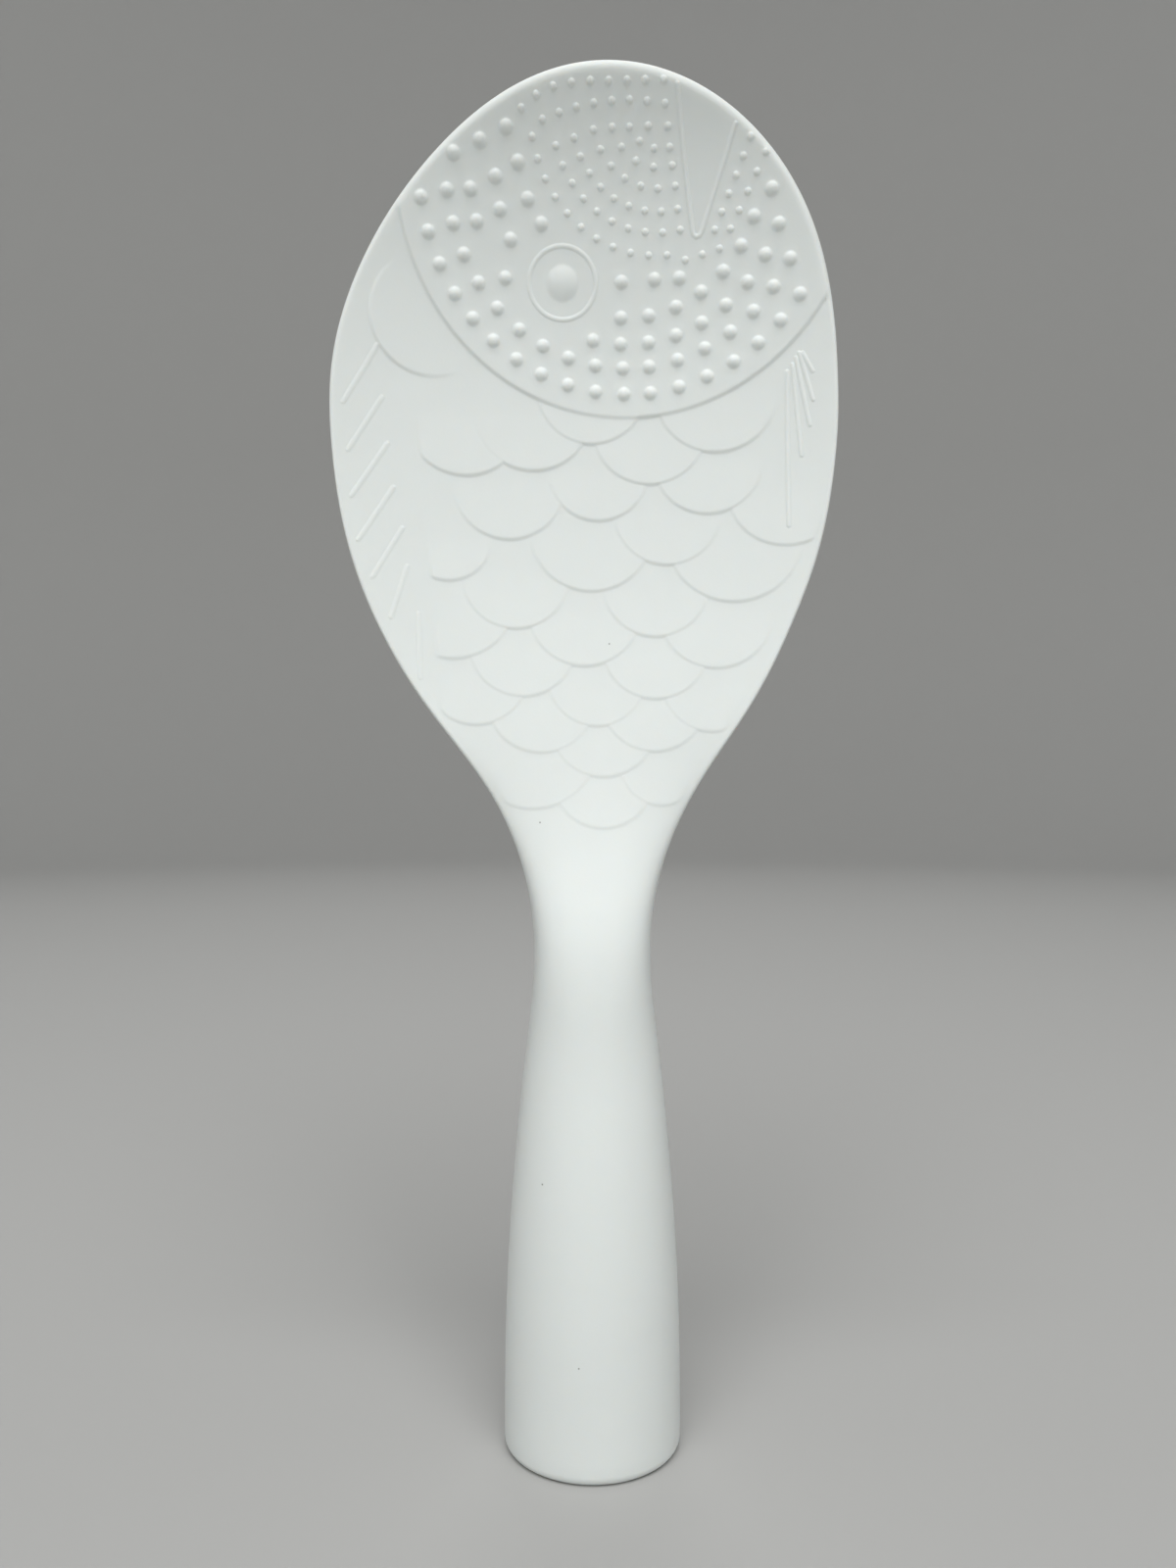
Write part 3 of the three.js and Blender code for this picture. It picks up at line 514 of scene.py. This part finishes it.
def relief_lines():
    """All the lines that the triangles of the front follow."""
    lines = edge_lines(GILL_CENTRE, GILL_RADIUS, -math.pi / 2, math.pi / 2)
    for across, lowest, radius in SCALES:
        lines += edge_lines((across, lowest + radius), radius, -SCALE_SWEEP, SCALE_SWEEP)
    lines += edge_lines(LOBE[:2], LOBE[2], LOBE_FACING - LOBE_SWEEP, LOBE_FACING + LOBE_SWEEP)
    field = even_path(np.array(FIELD_LEFT, float), LINE_SPACING)
    lines += [(field + (offset * FIELD_FADE, 0), False) for offset in FIELD_LINES]
    for place in domes:
        lines += ring_lines(place, (DOME_RADIUS, DOME_RADIUS), DOME_LINES, DOME_SIDES)
        lines.append((np.array([place]), False))
    for place in dots:
        lines += ring_lines(place, (DOT_RADIUS, DOT_RADIUS), DOT_LINES, DOT_SIDES)
        lines.append((np.array([place]), False))
    lines += ring_lines(EYE_CENTRE, PUPIL_RADII, PUPIL_LINES, PUPIL_SIDES)
    lines.append((np.array([EYE_CENTRE]), False))
    offsets = [side * share for share in RIDGE_LINES for side in (-1, 1)]
    ring_shares = [1 + offset * EYE_RIDGE[0] / EYE_RADII[0] for offset in offsets]
    lines += ring_lines(EYE_CENTRE, EYE_RADII, [1, *ring_shares], EYE_SIDES)
    for path, half, _ in ridges:
        lines += ridge_lines(path, half)
    return lines


def inside_blade(places, land):
    """Whether places lie on the blade, farther than land from its rim."""
    x, z = places.T
    return (np.abs(x - sway(z)) < half_width(z)) & (distance_to(outline, x, z) > land)


def blade_triangles(lines, grid):
    """Triangles over the front view of the blade that follow the rim and these lines, filled by a grid."""
    row_turns = np.linspace(-math.pi / 2, math.pi / 2, SIDES // 2 + 1)
    neck_row = np.stack([neck_half * np.sin(row_turns), np.full(len(row_turns), NECK_HEIGHT)], 1)
    border = [(rim_line(inset), False) for inset in rim_insets] + [(neck_row, False)]
    places, edges = [], []
    for points, closed in [*border, *lines]:
        first = len(places)
        places.extend(points)
        edges += [(i, i + 1) for i in range(first, len(places) - 1)]
        if closed:
            edges.append((len(places) - 1, first))
    places = np.array(places)
    border_count = sum(len(points) for points, _ in border)
    kept = inside_blade(places, LINE_LAND)
    kept[:border_count] = True
    edges = [(a, b) for a, b in edges if kept[a] and kept[b]]
    near = KDTree(int(kept.sum()))
    for i in np.flatnonzero(kept):
        near.insert((*places[i], 0), int(i))
    near.balance()
    rows = np.arange(NECK_HEIGHT + grid, TIP_HEIGHT, grid * math.sqrt(3) / 2)
    columns = np.arange(-BLADE_WIDTH, BLADE_WIDTH, grid)
    filling = np.array([(x + grid / 2 * (i % 2), z) for i, z in enumerate(rows) for x in columns])
    filling = filling[inside_blade(filling, rim_insets[-1] + grid / 2)]
    filling = [place for place in filling if near.find((*place, 0))[2] > GRID_LAND * grid]
    new_index = np.cumsum(kept) - 1
    corners = [Vector(place) for place in [*places[kept], *filling]]
    edges = [(int(new_index[a]), int(new_index[b])) for a, b in edges]
    made = delaunay_2d_cdt(corners, edges, [], INSIDE, WELD, False)
    places = np.array(made[0])
    triangles = np.array([list(face) for face in made[2]])
    return places, triangles[inside_blade(places[triangles].mean(axis=1), 0)].tolist()


def handle_ring(z):
    """Ring of the handle, from the front round by the right, drawn in over the rounding of the foot."""
    lift = max(0, BASE_FILLET - z)
    inset = BASE_FILLET - math.sqrt(BASE_FILLET**2 - lift**2)
    shrink = 1 - inset / BASE_RADIUS
    turn = np.arange(SIDES) * 2 * math.pi / SIDES
    x = half_width(z) * shrink * np.sin(turn)
    front = np.cos(turn) > 0
    depth = half_depth(z) * shrink * round_section(np.sin(turn), z, front)
    y = set_back(z) - np.where(front, depth, -depth)
    return np.stack([x, y, np.full(SIDES, z)], 1)


def turned_ring(radius, z):
    """Ring round the handle's axis, from the front round by the right."""
    turn = np.arange(SIDES) * 2 * math.pi / SIDES
    return np.stack([radius * np.sin(turn), -radius * np.cos(turn), np.full(SIDES, z)], 1)


def hollow_profile():
    """Radius and height along the inside: seat of the plug, chamber of the weight, core with a round end."""
    seat = plug_radius + CLEARANCE
    chamber = weight_radius + CLEARANCE
    core_top = NECK_HEIGHT - CORE_STOP
    core_end = float(half_width(core_top)) - CORE_WALL
    turns = np.linspace(0, math.pi / 2, CORE_STEPS)[:-1]
    core = [(core_end * math.cos(a), core_top - core_end * (1 - math.sin(a))) for a in turns]
    return [
        (seat, 0),
        (seat, PLUG_THICKNESS + CLEARANCE),
        (chamber, PLUG_THICKNESS + CLEARANCE),
        (chamber, WEIGHT_TOP + CLEARANCE),
        (chamber - WEIGHT_SHOULDER, WEIGHT_TOP + CLEARANCE),
        *core,
    ]


def ring_faces(first, rings, sides):
    """Faces between rings of points that follow each other."""
    faces = []
    for ring in range(rings - 1):
        for i in range(sides):
            a, b = first + ring * sides + i, first + ring * sides + (i + 1) % sides
            faces.append((a, a + sides, b + sides, b))
    return faces


def mesh_piece(name, corners, faces):
    """A closed, smooth-shaded mesh object from corners in millimetres."""
    mesh = bpy.data.meshes.new(name)
    mesh.from_pydata((np.array(corners) * MM).tolist(), [], faces)
    solid = bmesh.new()
    solid.from_mesh(mesh)
    bmesh.ops.remove_doubles(solid, verts=solid.verts, dist=MERGE * MM)
    bmesh.ops.dissolve_degenerate(solid, edges=solid.edges, dist=SLIVER * MM)
    solid.to_mesh(mesh)
    solid.free()
    mesh.shade_smooth()
    mesh.set_sharp_from_angle(angle=SHARP)
    piece = bpy.data.objects.new(name, mesh)
    bpy.context.scene.collection.objects.link(piece)
    return piece


def moulding_mesh():
    """The moulding as one closed mesh, in the order front, back, handle, foot, hollow."""
    corners, faces = [], []
    for lines, grid, side in ((relief_lines(), FRONT_GRID, -1), ([], BACK_GRID, 1)):
        places, triangles = blade_triangles(lines, grid)
        x, z = places.T
        inset = distance_to(outline, x, z)
        y = middle(x, z) + side * half_thickness(x, z, inset, side < 0)
        if side < 0:
            y = y - relief(x, z, inset)
        first = len(corners)
        corners.extend(np.stack([x, y, z], 1))
        faces += [[first + i for i in triangle[::-side]] for triangle in triangles]
    turns = np.linspace(math.pi / 2, 0, FILLET_STEPS)
    heights = [
        *np.linspace(NECK_HEIGHT, BASE_FILLET, round(NECK_HEIGHT / HANDLE_STEP)),
        *(BASE_FILLET * (1 - math.cos(turn)) for turn in turns[1:]),
    ]
    rings = [handle_ring(z) for z in heights]
    rings += [turned_ring(radius, z) for radius, z in hollow_profile()]
    first = len(corners)
    corners.extend(np.concatenate(rings))
    faces += ring_faces(first, len(rings), SIDES)
    last_ring = len(corners) - SIDES
    corners.append(np.array([0, 0, NECK_HEIGHT - CORE_STOP], float))
    faces += [(last_ring + i, len(corners) - 1, last_ring + (i + 1) % SIDES) for i in range(SIDES)]
    return mesh_piece("paddle_moulding", corners, faces)


moulding = moulding_mesh()

# Finish of the moulding: satin white polypropylene, slightly cool, with the fine grain of a blasted mould,
# faint clouding of the pigment, a little shine from handling and a few tiny dark specks in the plastic.
WHITE = (0.785, 0.82, 0.805, 1)
WHITE_CLOUD = (0.75, 0.785, 0.77, 1)
SPECK_GREY = (0.22, 0.22, 0.2, 1)
SPECKS = [(2.7, 123.5), (-8.1, 95.3), (-7.4, 42.3), (-2.0, 17.2)]  # across and up on the front
SPECK_SIZE = 0.16
SPECK_CORE = 1 / 3  # share of a speck that is fully dark
MOULDING_ROUGHNESS = 0.6
SHINE_SPREAD = (-0.05, 0.06)  # change of the roughness from handling


def new_node(tree, kind, **settings):
    """A shader node with its properties, and its inputs given by name with _ for a space."""
    node = tree.nodes.new(kind)
    for name, value in settings.items():
        if hasattr(node, name):
            setattr(node, name, value)
        else:
            node.inputs[name.replace("_", " ")].default_value = value
    return node


def speck_share(tree, place):
    """1 on the specks and 0 elsewhere, as the output of a node."""
    apart = new_node(tree, "ShaderNodeSeparateXYZ")
    tree.links.new(place, apart.inputs["Vector"])
    nearest = None
    for across, up in SPECKS:
        flat = new_node(tree, "ShaderNodeCombineXYZ")
        tree.links.new(apart.outputs["X"], flat.inputs["X"])
        tree.links.new(apart.outputs["Z"], flat.inputs["Z"])
        reach = new_node(tree, "ShaderNodeVectorMath", operation="DISTANCE")
        reach.inputs[1].default_value = (across * MM, 0, up * MM)
        tree.links.new(flat.outputs["Vector"], reach.inputs[0])
        if nearest is None:
            nearest = reach.outputs["Value"]
            continue
        lesser = new_node(tree, "ShaderNodeMath", operation="MINIMUM")
        tree.links.new(nearest, lesser.inputs[0])
        tree.links.new(reach.outputs["Value"], lesser.inputs[1])
        nearest = lesser.outputs["Value"]
    share = new_node(tree, "ShaderNodeMapRange", To_Min=1, To_Max=0)
    share.inputs["From Min"].default_value = SPECK_SIZE * MM * SPECK_CORE
    share.inputs["From Max"].default_value = SPECK_SIZE * MM
    tree.links.new(nearest, share.inputs["Value"])
    return share.outputs["Result"]


def white_plastic(name, light, dark, roughness):
    """White moulded plastic: two close tones, a roughness that wanders a little, and a fine grain."""
    material = bpy.data.materials.new(name)
    material.use_nodes = True
    tree = material.node_tree
    shader = tree.nodes["Principled BSDF"]
    place = new_node(tree, "ShaderNodeTexCoord").outputs["Object"]
    cloud = new_node(tree, "ShaderNodeTexNoise", Scale=45, Detail=4, Roughness=0.55)
    tones = new_node(tree, "ShaderNodeMix", data_type="RGBA")
    tones.inputs["A"].default_value = dark
    tones.inputs["B"].default_value = light
    handling = new_node(tree, "ShaderNodeTexNoise", Scale=160, Detail=3, Roughness=0.6)
    shine = new_node(tree, "ShaderNodeMapRange", From_Min=0.3, From_Max=0.7)
    shine.inputs["To Min"].default_value = roughness + SHINE_SPREAD[0]
    shine.inputs["To Max"].default_value = roughness + SHINE_SPREAD[1]
    grain = new_node(tree, "ShaderNodeTexNoise", Scale=2600, Detail=2, Roughness=0.5)
    bump = new_node(tree, "ShaderNodeBump", Strength=0.12, Distance=0.00006)
    link = tree.links.new
    for noise in (cloud, handling, grain):
        link(place, noise.inputs["Vector"])
    link(cloud.outputs["Fac"], tones.inputs["Factor"])
    link(tones.outputs["Result"], shader.inputs["Base Color"])
    link(handling.outputs["Fac"], shine.inputs["Value"])
    link(shine.outputs["Result"], shader.inputs["Roughness"])
    link(grain.outputs["Fac"], bump.inputs["Height"])
    link(bump.outputs["Normal"], shader.inputs["Normal"])
    shader.inputs["IOR"].default_value = 1.49
    shader.inputs["Subsurface Weight"].default_value = 0.8
    shader.inputs["Subsurface Radius"].default_value = (1.0, 0.9, 0.8)
    shader.inputs["Subsurface Scale"].default_value = 0.0008
    return material


def with_specks(material):
    """The same plastic with its specks."""
    tree = material.node_tree
    shader = tree.nodes["Principled BSDF"]
    plain = shader.inputs["Base Color"].links[0].from_socket
    place = new_node(tree, "ShaderNodeTexCoord").outputs["Object"]
    tint = new_node(tree, "ShaderNodeMix", data_type="RGBA")
    tint.inputs["B"].default_value = SPECK_GREY
    tree.links.new(plain, tint.inputs["A"])
    tree.links.new(speck_share(tree, place), tint.inputs["Factor"])
    tree.links.new(tint.outputs["Result"], shader.inputs["Base Color"])
    return material


satin_white = white_plastic("satin_white_moulding", WHITE, WHITE_CLOUD, MOULDING_ROUGHNESS)
moulding.data.materials.append(with_specks(satin_white))
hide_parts("paddle_body")
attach(moulding, "root")

# Ballast weight: a slug of bar steel, faced and chamfered on a lathe and dropped into the foot.
# It keeps the paddle upright, and stands on the plug's short tube.
WEIGHT_CHAMFER = 0.8
STEEL = (0.56, 0.57, 0.58, 1)
STEEL_PATCH = (0.392, 0.399, 0.406, 1)


def turned_piece(name, profile):
    """A solid turned round the handle's axis from (radius, height) points that start and end on it."""
    rings = [turned_ring(radius, z) for radius, z in profile[1:-1]]
    corners = [*np.concatenate(rings), (0, 0, profile[0][1]), (0, 0, profile[-1][1])]
    faces = [face[::-1] for face in ring_faces(0, len(rings), SIDES)]
    bottom, top = len(corners) - 2, len(corners) - 1
    last_ring = (len(rings) - 1) * SIDES
    for i in range(SIDES):
        after = (i + 1) % SIDES
        faces.append((bottom, after, i))
        faces.append((top, last_ring + i, last_ring + after))
    return mesh_piece(name, corners, faces)


weight = turned_piece("steel_ballast", [
    (0, WEIGHT_BOTTOM),
    (weight_radius - WEIGHT_CHAMFER, WEIGHT_BOTTOM),
    (weight_radius, WEIGHT_BOTTOM + WEIGHT_CHAMFER),
    (weight_radius, WEIGHT_TOP - WEIGHT_CHAMFER),
    (weight_radius - WEIGHT_CHAMFER, WEIGHT_TOP),
    (0, WEIGHT_TOP),
])


def turned_steel(name):
    """Bare steel with the fine rings of the lathe tool and a few darker patches."""
    material = bpy.data.materials.new(name)
    material.use_nodes = True
    tree = material.node_tree
    shader = tree.nodes["Principled BSDF"]
    place = new_node(tree, "ShaderNodeTexCoord").outputs["Object"]
    rings = new_node(tree, "ShaderNodeTexWave", wave_type="RINGS", rings_direction="Z", Scale=900)
    patches = new_node(tree, "ShaderNodeTexNoise", Scale=220, Detail=4)
    tones = new_node(tree, "ShaderNodeMix", data_type="RGBA")
    tones.inputs["A"].default_value = STEEL_PATCH
    tones.inputs["B"].default_value = STEEL
    shine = new_node(tree, "ShaderNodeMapRange", To_Min=0.32, To_Max=0.5)
    bump = new_node(tree, "ShaderNodeBump", Strength=0.3, Distance=0.00002)
    link = tree.links.new
    link(place, rings.inputs["Vector"])
    link(place, patches.inputs["Vector"])
    link(patches.outputs["Fac"], tones.inputs["Factor"])
    link(tones.outputs["Result"], shader.inputs["Base Color"])
    link(patches.outputs["Fac"], shine.inputs["Value"])
    link(shine.outputs["Result"], shader.inputs["Roughness"])
    link(rings.outputs["Fac"], bump.inputs["Height"])
    link(bump.outputs["Normal"], shader.inputs["Normal"])
    shader.inputs["Metallic"].default_value = 1
    return material


weight.data.materials.append(turned_steel("bare_turned_steel"))
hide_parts("ballast_weight")
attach(weight, "root")

# Base plug: a round lid of the same plastic with a short tube above it, pressed into the foot from below.
# It is flush with the base, carries the weight, and has a small rounding along its edge.
SPIGOT_HEIGHT = 4
SPIGOT_WALL = 2
PLUG_ROUNDING = 0.3
CORNER_STEPS = 5
PLUG_WHITE = (0.77, 0.78, 0.76, 1)
PLUG_CLOUD = (0.73, 0.745, 0.72, 1)
PLUG_ROUGHNESS = 0.5

spigot_top = PLUG_THICKNESS + SPIGOT_HEIGHT
rounding = [
    (plug_radius - PLUG_ROUNDING * (1 - math.sin(a)), PLUG_ROUNDING * (1 - math.cos(a)))
    for a in np.linspace(0, math.pi / 2, CORNER_STEPS)
]
plug = turned_piece("foot_plug", [
    (0, 0),
    *rounding,
    (plug_radius, PLUG_THICKNESS),
    (weight_radius, PLUG_THICKNESS),
    (weight_radius, spigot_top),
    (weight_radius - SPIGOT_WALL, spigot_top),
    (weight_radius - SPIGOT_WALL, PLUG_THICKNESS),
    (0, PLUG_THICKNESS),
])
plug.data.materials.append(white_plastic("matte_white_plug", PLUG_WHITE, PLUG_CLOUD, PLUG_ROUGHNESS))
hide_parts("base_plug")
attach(plug, "root")

# Stage: a plain pale floor that curves up all round into a low wall, like a sheet of studio paper.
# It is one turned surface of matte paper and no part of the paddle. Its sizes are in metres.
FLOOR_RADIUS = 1.4
COVE_RADIUS = 0.7
WALL_HEIGHT = 2.2
FLOOR_PALE = (0.43, 0.43, 0.42, 1)
PAPER_ROUGHNESS = 0.9
STAGE_SIDES = 96
FLOOR_RINGS = (0.05, 0.2, 0.5, 1)  # shares of the floor's radius
COVE_STEPS = 13


def paper_stage():
    """Floor, cove and wall in one mesh."""
    profile = [(share * FLOOR_RADIUS, 0) for share in FLOOR_RINGS]
    for turn in np.linspace(0, math.pi / 2, COVE_STEPS)[1:]:
        profile.append((FLOOR_RADIUS + COVE_RADIUS * math.sin(turn), COVE_RADIUS * (1 - math.cos(turn))))
    profile.append((FLOOR_RADIUS + COVE_RADIUS, WALL_HEIGHT))
    turns = np.arange(STAGE_SIDES) * 2 * math.pi / STAGE_SIDES
    corners = [(r * math.sin(a), -r * math.cos(a), z) for r, z in profile for a in turns]
    faces = [*ring_faces(0, len(profile), STAGE_SIDES), list(range(STAGE_SIDES))]
    mesh = bpy.data.meshes.new("paper_stage")
    mesh.from_pydata(corners, [], faces)
    mesh.shade_smooth()
    paper = bpy.data.materials.new("pale_paper")
    paper.use_nodes = True
    shader = paper.node_tree.nodes["Principled BSDF"]
    shader.inputs["Base Color"].default_value = FLOOR_PALE
    shader.inputs["Roughness"].default_value = PAPER_ROUGHNESS
    mesh.materials.append(paper)
    stage = bpy.data.objects.new("paper_stage", mesh)
    bpy.context.scene.collection.objects.link(stage)
    return stage


paper_stage()

# Light: one large soft panel above and in front, a small dim one behind that lights the upper rim, and a
# dim even sky. The panels are squares that face the middle of the paddle. Sizes are in metres and watts.
SKY = (0.95, 0.98, 1.0, 1)
SKY_STRENGTH = 0.14
middle_height = (cad_low.z + cad_high.z) / 2


def soft_panel(name, place, size, power, spread):
    """A square light that faces the middle of the paddle and shines out within a spread."""
    target = Vector((0, 0, middle_height))
    light = bpy.data.lights.new(name, "AREA")
    light.size = size
    light.energy = power
    light.spread = spread
    lamp = bpy.data.objects.new(name, light)
    lamp.location = place
    lamp.rotation_euler = (target - Vector(place)).to_track_quat("-Z", "Y").to_euler()
    bpy.context.scene.collection.objects.link(lamp)


soft_panel("top_panel", place=(0, -1.36, 1.88), size=2.0, power=60, spread=math.pi)
soft_panel("back_panel", place=(0, 1.9, 1.1), size=1.2, power=2.4, spread=math.pi / 2)
world = bpy.data.worlds.new("soft_sky")
bpy.context.scene.world = world
world.use_nodes = True
world.node_tree.nodes["Background"].inputs["Color"].default_value = SKY
world.node_tree.nodes["Background"].inputs["Strength"].default_value = SKY_STRENGTH
bpy.context.scene.view_settings.view_transform = "Standard"

# Camera: level, a hand's length in front of the paddle, as the photograph was taken. Its place is in metres,
# its sensor in millimetres, and its focal length in the photograph's pixels.
PHOTO_SIZE = (1200, 1600)
FOCAL_PIXELS = 1250
SENSOR = 36
CAMERA_PLACE = (-0.00068, -0.1893, 0.10125)
NEAREST = 0.01

camera = bpy.data.objects.new("camera", bpy.data.cameras.new("camera"))
camera.data.sensor_width = SENSOR
camera.data.lens = SENSOR * FOCAL_PIXELS / max(PHOTO_SIZE)
camera.data.clip_start = NEAREST
camera.location = CAMERA_PLACE
camera.rotation_euler = (math.pi / 2, 0, 0)
bpy.context.scene.collection.objects.link(camera)
bpy.context.scene.camera = camera
